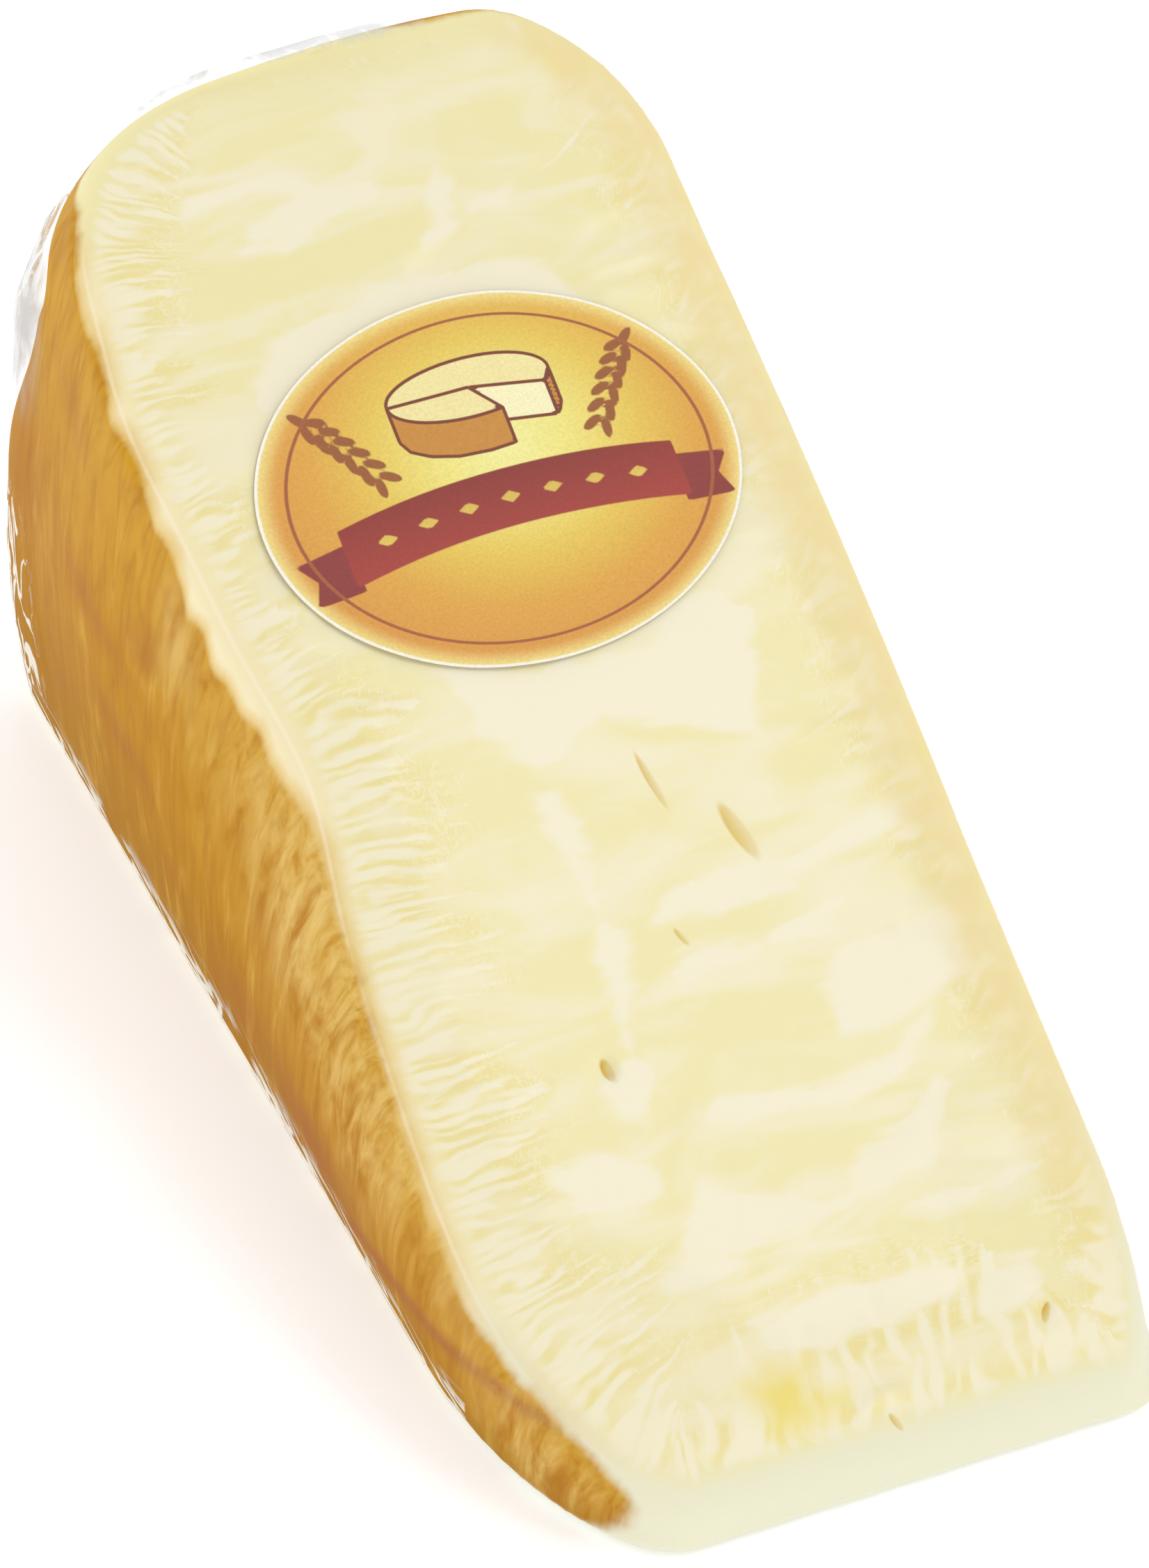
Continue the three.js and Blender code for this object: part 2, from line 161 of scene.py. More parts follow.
def wheat_ear(side):
    """One ear of wheat: pairs of grains up a curved stalk, and one at its top."""
    grains = []
    for k in range(7):
        t = k / 6
        x, y = 8.2 + 4.4 * t, 1.8 + 7.2 * t - 1.2 * t * t
        rise = 0.98 - 0.25 * t
        for row in (-1, 1) if k < 6 else (0,):
            off, turn = row * 0.55, rise - row * 0.5
            middle = side * (x - off * sin(rise)), y + off * cos(rise)
            grains.append(oval(*middle, 0.85, 0.36, turn if side > 0 else pi - turn))
    return grains


def ribbon():
    """A plain arched ribbon."""
    upper = [(x, 0.6 - 0.008 * x * x) for x in np.linspace(-12.8, 12.8, 17)]
    return [upper + [(x, y - 4.3) for x, y in reversed(upper)]]


def ribbon_tails():
    """The ribbon's two notched ends, behind it."""
    tail = [(12.3, -1.7), (16.5, -2.4), (15.3, -3.9), (16.0, -5.7), (12.3, -5.4)]
    return [tail, [(-x, y) for x, y in tail]]


def lozenges():
    """A row of small lozenges that follows the ribbon's arch."""
    middles = [(x, -1.55 - 0.008 * x * x) for x in np.linspace(-9.6, 9.6, 7)]
    return [[(x - 0.8, y), (x, y + 0.45), (x + 0.8, y), (x, y - 0.45)] for x, y in middles]


def wheel_top():
    """The drawn cheese's top: an oval with a slice cut out."""
    turns = [radians(a) for a in np.linspace(-25.6, 287.8, 40)]
    return [[(0, 7)] + [(6.2 * cos(turn), 7 + 2.2 * sin(turn)) for turn in turns]]


LABEL_INKS = {
    "wheat": wheat_ear(1) + wheat_ear(-1),
    "ribbon": ribbon(),
    "tails": ribbon_tails(),
    "lozenges": lozenges(),
    "wheel_side": [
        [(-6.2, 7), (-6.2, 4.3), (-5.7, 3.45), (-4.4, 2.75), (-2.4, 2.25), (0, 2.1), (1.9, 2.2), (1.9, 4.9),
         (0, 7)],
        [(5.6, 6.05), (6.2, 7), (6.2, 4.3), (5.9, 3.7), (5.6, 3.4)],
    ],
    "cut_face": [[(0, 7), (5.6, 6.05), (5.6, 3.4), (1.9, 3.95), (1.9, 4.9)]],
    "wheel_top": wheel_top(),
}
# The inks in the order they are printed.
INK_COLOURS = {
    "tails": "#8E3630", "ribbon": "#A23A30", "wheel_side": "#C98A36", "cut_face": "#F8F0BE",
    "wheel_top": "#F2E3A0", "lozenges": "#E9C65A", "wheat": "#9A5A2A",
}


# ---- Small tools ----

def smooth(value, low, high):
    """0 below low, 1 above high, and a soft step between."""
    t = np.clip((value - low) / (high - low), 0, 1)
    return t * t * (3 - 2 * t)


def linear(code):
    """An sRGB hex colour as linear RGBA."""
    parts = [int(code[i:i + 2], 16) / 255 for i in (1, 3, 5)]
    return (*[c / 12.92 if c <= 0.04045 else ((c + 0.055) / 1.055) ** 2.4 for c in parts], 1.0)


def add(tree, kind, inputs=None, **settings):
    """Adds a node with its settings. An input takes a value, a socket, or a node, by its first live output."""
    made = tree.nodes.new("ShaderNode" + kind)
    for name, value in settings.items():
        setattr(made, name, value)
    for key, value in (inputs or {}).items():
        if isinstance(value, bpy.types.Node):
            value = next(output for output in value.outputs if output.enabled)
        if isinstance(value, bpy.types.NodeSocket):
            tree.links.new(value, made.inputs[key])
        else:
            made.inputs[key].default_value = value
    return made


def new_material(name):
    """An empty material and its node tree."""
    material = bpy.data.materials.new(name)
    material.use_nodes = True
    material.node_tree.nodes.clear()
    return material, material.node_tree


def only(piece):
    """Selects this piece alone and makes it active."""
    bpy.ops.object.select_all(action="DESELECT")
    piece.select_set(True)
    bpy.context.view_layer.objects.active = piece


def finish_modifier(piece, kind, **settings):
    """Adds a modifier to the piece and applies it."""
    only(piece)
    modifier = piece.modifiers.new(kind, kind)
    for name, value in settings.items():
        setattr(modifier, name, value)
    bpy.ops.object.modifier_apply(modifier=modifier.name)


def get_points(piece):
    """The piece's vertices as rows of millimetres from the wheel's middle."""
    flat = np.empty(len(piece.data.vertices) * 3)
    piece.data.vertices.foreach_get("co", flat)
    return flat.reshape(-1, 3) / MM - np.array(WHEEL_IN_ROW)


def set_points(piece, points):
    """Moves the piece's vertices to these places in the wheel's millimetres."""
    piece.data.vertices.foreach_set("co", ((points + np.array(WHEEL_IN_ROW)) * MM).ravel())
    piece.data.update()


# ---- The wedge's own measures ----

def arc(middle, half, start, stop):
    """Points on an elliptical corner, between two angles in degrees."""
    turn = np.radians(np.linspace(start, stop, CORNER_STEPS))
    return np.stack([middle[0] + half[0] * np.cos(turn), middle[1] + half[1] * np.sin(turn)], -1)


def face_outline(face):
    """A cut face's real outline, evenly spaced, from the middle of the rim round by the right."""
    rim_left, rim_right = face["rim_left"], face["rim_right"]
    tip_left, tip_right = face["tip_left"], face["tip_right"]
    corners = [
        np.array([[0, WHEEL_RADIUS]]),
        arc((HALF - rim_right[0], WHEEL_RADIUS - rim_right[1]), rim_right, 90, 0),
        arc((HALF - tip_right[0], face["tip"] + tip_right[1]), tip_right, 0, -90),
        arc((tip_left[0] - HALF, face["tip"] + tip_left[1]), tip_left, -90, -180),
        arc((rim_left[0] - HALF, WHEEL_RADIUS - rim_left[1]), rim_left, 180, 90),
        np.array([[0, WHEEL_RADIUS]]),
    ]
    line = np.concatenate(corners)
    far = np.concatenate([[0], np.cumsum(np.linalg.norm(np.diff(line, axis=0), axis=1))])
    even = np.linspace(0, far[-1], OUTLINE_STEPS)
    line = np.stack([np.interp(even, far, line[:, 0]), np.interp(even, far, line[:, 1])], -1)
    near_tip = 1 - smooth(line[:, 1], 9, 9 + HALF)
    shift = sum(
        side * swell * smooth(side * line[:, 0], HALF * 0.8, HALF) * np.exp(-((line[:, 1] - at) / reach) ** 2)
        for side, at, reach, swell in EDGE_SWELLS
    )
    shift = shift if face is UPPER_FACE else 0
    return np.stack([line[:, 0] + shift, line[:, 1] + TIP_SLANT * line[:, 0] * near_tip], -1), even


def nearest_on(outline, even, plan):
    """For each plan point: the distance round the outline, and how far in from it the point is."""
    round_, inset = np.empty(len(plan)), np.empty(len(plan))
    ahead = np.roll(outline, -1, 0) - np.roll(outline, 1, 0)
    for start in range(0, len(plan), BATCH):
        part = plan[start:start + BATCH]
        gap = part[:, None, :] - outline[None, :, :]
        found = np.argmin((gap ** 2).sum(-1), 1)
        rows = np.arange(len(part))
        near = gap[rows, found]
        direction = ahead[found] / np.linalg.norm(ahead[found], axis=1, keepdims=True)
        inset[start:start + BATCH] = direction[:, 1] * near[:, 0] - direction[:, 0] * near[:, 1]
        round_[start:start + BATCH] = even[found] + (direction * near).sum(-1)
    return round_, inset


def distance_inside(outlines, plan):
    """How far each plan point is inside the nearest of these drawn outlines; below 0 outside them all."""
    best = np.full(len(plan), -20.0)
    for outline in outlines:
        corners = np.array(outline, float)
        following = np.roll(corners, -1, 0)
        nearest = np.full(len(plan), 1e9)
        inside = np.zeros(len(plan), bool)
        for a, b in zip(corners, following):
            t = np.clip(((plan - a) @ (b - a)) / ((b - a) @ (b - a)), 0, 1)
            nearest = np.minimum(nearest, np.linalg.norm(plan - (a + t[:, None] * (b - a)), axis=1))
            crosses = (a[1] > plan[:, 1]) != (b[1] > plan[:, 1])
            with np.errstate(divide="ignore", invalid="ignore"):
                at = (b[0] - a[0]) * (plan[:, 1] - a[1]) / (b[1] - a[1]) + a[0]
            inside ^= crosses & (plan[:, 0] < at)
        best = np.maximum(best, np.where(inside, nearest, -nearest))
    return best


def face_waves(across, along):
    """The long, low waves of the soft upper face, and the short ones over them, which run askew."""
    (pace, start), (cross_pace, cross_start) = LONG_WAVE["along"], LONG_WAVE["across"]
    long = np.sin(along * pace + start) * np.cos(across * cross_pace + cross_start)
    (pace, lean), (cross_pace, cross_start) = SHORT_WAVE["along"], SHORT_WAVE["across"]
    short = np.sin(along * pace + across * lean) * np.sin(across * cross_pace + cross_start)
    return LONG_WAVE["high"] * long + SHORT_WAVE["high"] * short


def folds_round(outline, even):
    """How many film folds there are up to each place round the outline, how far in they reach, their slant."""
    across, along = outline[:, 0], outline[:, 1]
    right = smooth(across, 10, 19)
    rim = smooth(along, 108, 116)
    low = smooth(along, 30, 14)
    spacing = 1.0 + 0.7 * right * (1 - low) + 0.4 * rim + 0.8 * low
    count = np.concatenate([[0], np.cumsum(np.diff(even) / spacing[1:])])
    left_reach = np.interp(along, *zip(*LEFT_FOLDS))
    right_reach = np.interp(along, *zip(*RIGHT_FOLDS))
    reach = left_reach + (right_reach - left_reach) * right
    return count, reach, -0.25 * right * (1 - low)


def measures(points):
    """Where each point is on the wedge: polar place, place round the nearer cut edge, and how far in from it."""
    across = points[:, 0]
    along = np.hypot(points[:, 1], points[:, 2])
    angle = np.arctan2(points[:, 2], points[:, 1])
    at = {"across": across, "along": along, "angle": angle, "plan": np.stack([across, along], -1)}
    for name, face, down in (("upper", UPPER_FACE, CUT - angle), ("lower", LOWER_FACE, angle)):
        outline, even = face_outline(face)
        round_, inset = nearest_on(outline, even, at["plan"])
        count, reach, slant = (np.interp(round_, even, values) for values in folds_round(outline, even))
        at[name + "_round"] = round_
        at[name + "_in"] = inset - along * np.maximum(down, 0)
        at[name + "_folds"] = count + slant * inset
        at[name + "_reach"] = reach
    return at


def rind_depth(at):
    """How far each point is on the rind's side of the border between paste and rind, in millimetres."""
    left = at["across"] < 0
    # The paste has crept down over the rind in stretches on the left, and evenly on the right.
    crept = np.interp(at["along"], *zip(*CREPT_PASTE))
    upper = -at["upper_in"] - np.where(left, crept + 0.8, 1.3)
    rim = smooth(at["along"], 109, 113) * (1 - smooth(at["across"], 2, 9))
    upper = upper - 3.0 * rim
    lower = -at["lower_in"] - 0.2
    # The blunt tip is paste all over. The rind fades out into it over 2 mm.
    inner = np.where(left, smooth(at["across"], -20.5, -14.5), smooth(at["across"], 24, 20))
    tip = smooth(at["along"], 30, 16) * inner
    return np.minimum(np.minimum(upper, lower), 2.5) * (1 - tip) - 2.5 * tip


def spots_on_side(at, spots):
    """How much of these soft spots each point of the left side is in, from 0 to 1."""
    tilt = np.degrees(at["angle"])
    parts = [
        share * np.exp(-((at["along"] - r) / long) ** 2 - ((tilt - a) / wide) ** 2)
        for r, a, long, wide, share in spots
    ]
    return np.clip(sum(parts), 0, 1) * (at["across"] < -10)


def fold_shade(at):
    """Painted shade, near 1 along the one long fold in the left side's rind, in millimetres of length and arc."""
    place = np.stack([at["along"], at["along"] * at["angle"]], -1)
    line = np.array([(r, r * radians(a)) for r, a in SHADED_FOLD])
    nearest = np.full(len(place), 1e9)
    for a, b in zip(line, line[1:]):
        t = np.clip(((place - a) @ (b - a)) / ((b - a) @ (b - a)), 0, 1)
        nearest = np.minimum(nearest, np.linalg.norm(place - (a + t[:, None] * (b - a)), axis=1))
    return np.exp(-(nearest / 1.1) ** 2) * (at["across"] < -10) * smooth(-at["upper_in"], 0, 1.5)


def stand_off(at):
    """How far the film stands off the cheese, in millimetres: most at the rim's left corner, less at its top."""
    off_corner = (at["across"] + HALF) / CORNER_GAP["across"]
    corner = np.exp(-off_corner ** 2 - ((at["along"] - WHEEL_RADIUS) / CORNER_GAP["along"]) ** 2)
    tilt = np.degrees(at["angle"])
    corner = corner * smooth(tilt, 15, 24) * (1 - smooth(tilt, 24, 31))
    off_middle = (at["across"] + RIM_GAP["across"]) / RIM_GAP["width"]
    rim = np.exp(-off_middle ** 4) * np.exp(-(at["upper_in"] / RIM_GAP["reach"]) ** 2)
    rim = rim * (at["along"] > 100)
    return np.maximum(corner * CORNER_GAP["deep"], rim * RIM_GAP["deep"])


def lay_field(piece, name, values):
    """Stores one number, or one row of three, on each of the piece's vertices."""
    if values.ndim == 1:
        piece.data.attributes.new(name, "FLOAT", "POINT").data.foreach_set("value", values)
    else:
        piece.data.attributes.new(name, "FLOAT_VECTOR", "POINT").data.foreach_set("vector", values.ravel())


def lay_fields(piece, at):
    """Stores on the vertices what the materials follow: places in millimetres, folds counted round the edge."""
    upper = at["angle"] > CUT / 2
    lay_field(piece, "edge", np.stack([
        np.where(upper, at["upper_folds"], at["lower_folds"] + LOWER_FOLDS_FROM),
        np.where(upper, at["upper_in"], at["lower_in"]),
        np.where(upper, at["upper_reach"], at["lower_reach"]),
    ], -1))
    lay_field(piece, "round_wheel", np.stack([at["across"], at["along"], at["along"] * at["angle"]], -1))
    # The film is crumpled low and high on the rim's left corner, where its creases get painted glints.
    tilt = np.degrees(at["angle"])
    low_part = 1 - smooth(tilt, 10, 16)
    high_part = 0.5 * smooth(tilt, 19, 24) * (1 - smooth(tilt, 28, 32))
    corner = smooth(-at["across"], 12, 19) * smooth(at["along"], 105, 115) * (low_part + high_part)
    # The strip along the right edge where the rind shows through the paste.
    strip = smooth(at["across"], 10, 19) * (1 - smooth(at["upper_in"], 2.5, 7))
    strip = strip * (1 - smooth(-at["upper_in"], 1.5, 4)) * smooth(at["along"], 12, 30)
    left_edge = smooth(-at["across"], 8, 14) * smooth(at["along"], 12, 18)
    for name, values in {
        # Painted reflection where the film is lifted off the cut face.
        "reflection_patch": distance_inside(PALE_REFLECTION_PATCHES, at["plan"]),
        "stain": distance_inside(YELLOW_STAINS, at["plan"]),
        "rind": rind_depth(at),
        "haze": smooth(stand_off(at), 0.2, 0.9) * smooth(-at["upper_in"], -0.3, 0.6),
        "sunny": spots_on_side(at, SUNNY_SPOTS),
        # Painted dark reflections on the rind, and the long fold's painted shade.
        "dusky": np.maximum(spots_on_side(at, DARK_REFLECTION_SPOTS), fold_shade(at)),
        "flake": distance_inside([FLAKE], at["plan"]),
        "left_edge": left_edge * (1 - smooth(at["along"], 102, 110)),
        "strip": strip,
        "above": np.where(upper | (at["along"] < 26), 50.0, -at["lower_in"]),
        "corner": corner,
        "nose": smooth(at["along"], 34, 22) * smooth(-at["upper_in"], -2.4, 0.8),
    }.items():
        lay_field(piece, name, values)


# ---- The pieces ----

def wedge_skin(name):
    """An even, soft skin over the solid, from a joined copy of its mesh."""
    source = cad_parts["cheese_in_film"]
    piece = bpy.data.objects.new(name, source.data.copy())
    piece.data.materials.clear()
    bpy.context.scene.collection.objects.link(piece)
    only(piece)
    bpy.ops.object.mode_set(mode="EDIT")
    bpy.ops.mesh.select_all(action="SELECT")
    bpy.ops.mesh.remove_doubles(threshold=1e-6)
    bpy.ops.object.mode_set(mode="OBJECT")
    finish_modifier(piece, "REMESH", mode="VOXEL", voxel_size=VOXEL * MM)
    finish_modifier(piece, "SMOOTH", factor=0.5, iterations=8)
    only(piece)
    bpy.ops.object.shade_smooth()
    return piece


def on_upper_face(points):
    """Across, along and height above the upper cut face."""
    along = points[:, 1] * cos(CUT) + points[:, 2] * sin(CUT)
    height = -points[:, 1] * sin(CUT) + points[:, 2] * cos(CUT)
    return points[:, 0], along, height


def from_upper_face(across, along, height):
    """The reverse of on_upper_face."""
    return np.stack([across, along * cos(CUT) - height * sin(CUT), along * sin(CUT) + height * cos(CUT)], -1)


def eye_nearness(across, along, grow=0.0):
    """For each opening: 1 at its middle, 0 at its rim and beyond."""
    shares = []
    for x, r, wide, long, turn, deep in [*EYES, SOLID_FLAKE]:
        c, s = cos(radians(turn)), sin(radians(turn))
        u = ((across - x) * c + (along - r) * s) / (wide + grow)
        v = (-(across - x) * s + (along - r) * c) / (long + grow)
        shares.append((1 - smooth(np.hypot(u, v), 0.0, 1.0), deep))
    return shares


def flatten_openings(piece, dip):
    """Draws the skin level over the openings, then sinks it into them by this share of their depth."""
    points = get_points(piece)
    across, along, height = on_upper_face(points)
    near = np.zeros(len(points))
    sink = np.zeros(len(points))
    for share, _ in eye_nearness(across, along, 2.2):
        near = np.maximum(near, smooth(share, 0.0, 0.25))
    near = near * smooth(along, 12.5, 14)
    for share, deep in eye_nearness(across, along, 0.5):
        sink = np.maximum(sink, share * deep)
    near = np.where(height > -3, near, 0)
    level = face_waves(across, along) - sink * dip
    set_points(piece, from_upper_face(across, along, height + (level - height) * near))


def vertex_normals(piece):
    """The vertices' normals."""
    flat = np.empty(len(piece.data.vertices) * 3)
    piece.data.vertices.foreach_get("normal", flat)
    return flat.reshape(-1, 3)


def make_film():
    """The clear film, drawn tight over the wedge, and what its points measure."""
    piece = wedge_skin("clear_film")
    flatten_openings(piece, 0.15)
    at = measures(get_points(piece))
    lay_fields(piece, at)
    return piece, at


def make_cheese(film, at):
    """The cheese itself, from a copy of its film: a little inside it, with its openings sunk."""
    only(film)
    bpy.ops.object.duplicate()
    piece = bpy.context.active_object
    piece.name = "washed_rind_cheese"
    flatten_openings(piece, 1.0)
    away = FILM_GAP + stand_off(at)
    set_points(piece, get_points(piece) - vertex_normals(piece) * away[:, None])
    finish_modifier(piece, "SMOOTH", factor=0.5, iterations=3)
    return piece


def make_label():
    """A thin oval sheet of paper that follows the soft upper face."""
    bpy.ops.object.select_all(action="DESELECT")
    bpy.ops.mesh.primitive_circle_add(vertices=240, radius=MM, fill_type="NOTHING")
    piece = bpy.context.active_object
    piece.name = "paper_label"
    bpy.ops.object.mode_set(mode="EDIT")
    bpy.ops.transform.resize(value=(*LABEL_HALF, 1))
    for ring in range(LABEL_RINGS, 1, -1):
        bpy.ops.mesh.extrude_edges_move()
        bpy.ops.transform.resize(value=((ring - 1) / ring, (ring - 1) / ring, 1))
    bpy.ops.mesh.edge_face_add()
    bpy.ops.object.mode_set(mode="OBJECT")
    finish_modifier(piece, "SOLIDIFY", thickness=LABEL_THICK * MM, offset=0)
    only(piece)
    bpy.ops.object.mode_set(mode="EDIT")
    bpy.ops.mesh.select_all(action="SELECT")
    bpy.ops.mesh.normals_make_consistent(inside=False)
    bpy.ops.object.mode_set(mode="OBJECT")
    flat = np.empty(len(piece.data.vertices) * 3)
    piece.data.vertices.foreach_get("co", flat)
    flat = flat.reshape(-1, 3) / MM
    for name, outlines in LABEL_INKS.items():
        lay_field(piece, name, distance_inside(outlines, flat[:, :2]))
    across, along = flat[:, 0] + LABEL_AT[0], flat[:, 1] + LABEL_AT[1]
    rim = smooth(np.hypot(flat[:, 0] / LABEL_HALF[0], flat[:, 1] / LABEL_HALF[1]), 0.86, 1.0)
    curl = rim * (0.05 + 0.08 * np.sin(np.arctan2(flat[:, 1], flat[:, 0]) * 5 + 1.2) ** 2)
    height = flat[:, 2] + LABEL_LIFT + face_waves(across, along) + curl
    set_points(piece, from_upper_face(across, along, height))
    only(piece)
    bpy.ops.object.shade_smooth_by_angle(angle=radians(40))
    piece.data.materials.append(label_material())
    return piece


# ---- Materials ----

SOFT = {"interpolation_type": "SMOOTHSTEP"}
COLOUR = {"data_type": "RGBA"}
TIMES = {"operation": "MULTIPLY"}


def away_from(tree, value, level):
    """How far the value is from this level, whichever side of it."""
    off = add(tree, "Math", {0: value, 1: level}, operation="SUBTRACT")
    return add(tree, "Math", {0: off}, operation="ABSOLUTE")


def on_cut_face(tree):
    """Across, along and height over the upper cut face, in millimetres."""
    place = add(tree, "TexCoord").outputs["Object"]
    settings = {0: place, 1: WHEEL_IN_ROW * MM, 2: (CUT, 0, 0), 3: (MM, MM, MM)}
    return add(tree, "Mapping", settings, vector_type="TEXTURE")


def openings(tree, face):
    """The small slits' painted shade: 1 where their lit wall is deepest ochre, fading across them and down them to
    0.
    """
    darkest = None
    for across, along, wide, long, turn, deep in EYES:
        settings = {0: face, 1: (across, along, 0), 2: (0, 0, radians(turn)), 3: (wide, long, ANY_HEIGHT)}
        own = add(tree, "Mapping", settings, vector_type="TEXTURE")
        away = add(tree, "VectorMath", {0: own}, operation="LENGTH").outputs["Value"]
        spot = add(tree, "SeparateXYZ", {0: own})
        over = add(tree, "MapRange", {0: spot.outputs[0], 1: -0.9, 2: 1.1, 3: 1.0, 4: 0.25})
        down = add(tree, "MapRange", {0: spot.outputs[1], 1: 0.8, 2: -0.9, 3: 1.0, 4: 0.55})
        wall = add(tree, "Math", {0: over, 1: down}, **TIMES)
        within = add(tree, "MapRange", {0: away, 1: 1.15, 2: 0.75}, **SOFT)
        inside = add(tree, "Math", {0: within, 1: 0.8 + 0.5 * deep}, **TIMES)
        dark = add(tree, "Math", {0: inside, 1: wall}, operation="MULTIPLY", use_clamp=True)
        darkest = dark if darkest is None else add(tree, "Math", {0: darkest, 1: dark}, operation="MAXIMUM")
    return darkest


def gathers(tree):
    """1 on the ridges where the film is gathered along the cut edges, which are painted pale as highlights, 0
    between; the inset; where any are.
    """
    edge = add(tree, "SeparateXYZ", {0: add(tree, "Attribute", attribute_name="edge").outputs["Vector"]})
    folds, inset, reach = edge.outputs
    spot = add(tree, "CombineXYZ", {0: folds, 1: inset, 2: 0.0})
    # One wave to a fold, that wanders by two folds, and is thick and thin over some 4 mm of its length.
    wander_at = add(tree, "Mapping", {0: spot, 3: (0.3, 0.13, 1)})
    wander = add(tree, "TexNoise", {"Vector": wander_at, "Scale": 1.0, "Detail": 2.0})
    wandered = add(tree, "Math", {0: wander, 1: 4.0, 2: folds}, operation="MULTIPLY_ADD")
    turns = add(tree, "Math", {0: wandered, 1: 2 * pi}, **TIMES)
    wave = add(tree, "Math", {0: turns}, operation="SINE")
    thick_at = add(tree, "Mapping", {0: spot, 3: (0.8, 0.15, 1)})
    thick = add(tree, "TexNoise", {
        "Vector": thick_at, "Scale": 1.0, "Detail": 3.0, "Roughness": 0.5, "Distortion": 0.4,
    })
    ridge = add(tree, "Math", {0: wave, 1: 0.12, 2: thick}, operation="MULTIPLY_ADD")
    # Each fold runs out to a point: its threshold rises with the distance from the edge.
    ends_at = add(tree, "Mapping", {0: spot, 3: (0.6, 0.01, 1)})
    ends = add(tree, "TexNoise", {"Vector": ends_at, "Scale": 1.0, "Detail": 3.0, "Roughness": 0.7})
    share = add(tree, "Math", {0: inset, 1: reach}, operation="DIVIDE")
    spent = add(tree, "Math", {0: ends, 1: -1.3, 2: share}, operation="MULTIPLY_ADD")
    out = add(tree, "MapRange", {0: spent, 1: -0.3, 2: 0.4, 3: 0.07, 4: -0.34})
    begun = add(tree, "MapRange", {0: inset, 1: 0.2, 2: 1.5, 3: -0.35, 4: 0.03})
    pointed = add(tree, "Math", {0: ridge, 1: out}, operation="ADD")
    held = add(tree, "Math", {0: pointed, 1: begun}, operation="ADD")
    crest = add(tree, "MapRange", {0: held, 1: 0.38, 2: 0.68}, **SOFT)
    raised = add(tree, "Math", {0: crest, 1: 0.85}, **TIMES)
    # Tiny crumples where the folds run out, painted pale as highlight lines.
    curl_at = add(tree, "Mapping", {0: spot, 3: (0.9, 0.9, 1)})
    curl = add(tree, "TexNoise", {"Vector": curl_at, "Scale": 1.3, "Detail": 1.0, "Distortion": 1.2})
    curl_gap = away_from(tree, curl, 0.5)
    after = add(tree, "MapRange", {0: spent, 1: -0.2, 2: 0.05}, **SOFT)
    before = add(tree, "MapRange", {0: spent, 1: 0.42, 2: 0.25}, **SOFT)
    zone = add(tree, "Math", {0: after, 1: before}, **TIMES)
    curl_line = add(tree, "MapRange", {0: curl_gap, 1: 0.07, 2: 0.0}, **SOFT)
    curls = add(tree, "Math", {0: curl_line, 1: zone}, **TIMES)
    ridge_highlights = add(tree, "Math", {0: curls, 1: 0.45, 2: raised}, operation="MULTIPLY_ADD", use_clamp=True)
    unspent = add(tree, "MapRange", {0: spent, 1: 0.4, 2: -0.1}, **SOFT)
    within = add(tree, "MapRange", {0: inset, 1: 0.8, 2: 2.6}, **SOFT)
    gathered = add(tree, "Math", {0: unspent, 1: within}, **TIMES)
    return ridge_highlights, inset, gathered


def pale_reflections(tree):
    """1 where painted reflection makes the paste pale, on the fold ridges and where the film stands off it, 0
    where the film wets it; how deep the furrows are; the inset.
    """
    folds, inset, gathered = gathers(tree)
    face = on_cut_face(tree)
    # The pale places of painted reflection are drawn out along the wedge's width, 8 mm long and 2.5 mm high, and
    # their edges feather.
    drawn_at = add(tree, "Mapping", {0: face, 2: (0, 0, radians(-8)), 3: (0.11, 0.3, 0)})
    drawn = add(tree, "TexNoise", {
        "Vector": drawn_at, "Scale": 1.0, "Detail": 4.0, "Roughness": 0.55, "Distortion": 0.7,
    })
    laid = add(tree, "Attribute", attribute_name="reflection_patch").outputs["Fac"]
    inner = add(tree, "Math", {0: laid, 1: 2.5}, operation="SUBTRACT")
    reflection_patch = add(tree, "Math", {0: drawn, 1: 5.0, 2: inner}, operation="MULTIPLY_ADD")
    reflection_patches = add(tree, "MapRange", {0: reflection_patch, 1: -0.7, 2: 0.7}, **SOFT)
    cloud_at = add(tree, "Mapping", {0: face, 1: (7, 3, 0), 2: (0, 0, radians(-12)), 3: (0.07, 0.2, 0)})
    cloud = add(tree, "TexNoise", {
        "Vector": cloud_at, "Scale": 1.0, "Detail": 4.0, "Roughness": 0.5, "Distortion": 1.1,
    })
    cloud_share = add(tree, "MapRange", {0: cloud, 1: 0.4, 2: 0.64}, **SOFT)
    reflection_clouds = add(tree, "Math", {0: cloud_share, 1: 0.7}, **TIMES)
    either = add(tree, "Math", {0: reflection_patches, 1: reflection_clouds}, operation="MAXIMUM")
    off_edge = add(tree, "MapRange", {0: inset, 1: 1.0, 2: 5.0}, **SOFT)
    middle = add(tree, "Math", {0: either, 1: off_edge}, **TIMES)
    pale = add(tree, "Math", {0: folds, 1: middle}, operation="MAXIMUM")
    between = add(tree, "Math", {0: 1.0, 1: folds}, operation="SUBTRACT")
    return pale, add(tree, "Math", {0: between, 1: gathered}, **TIMES), inset


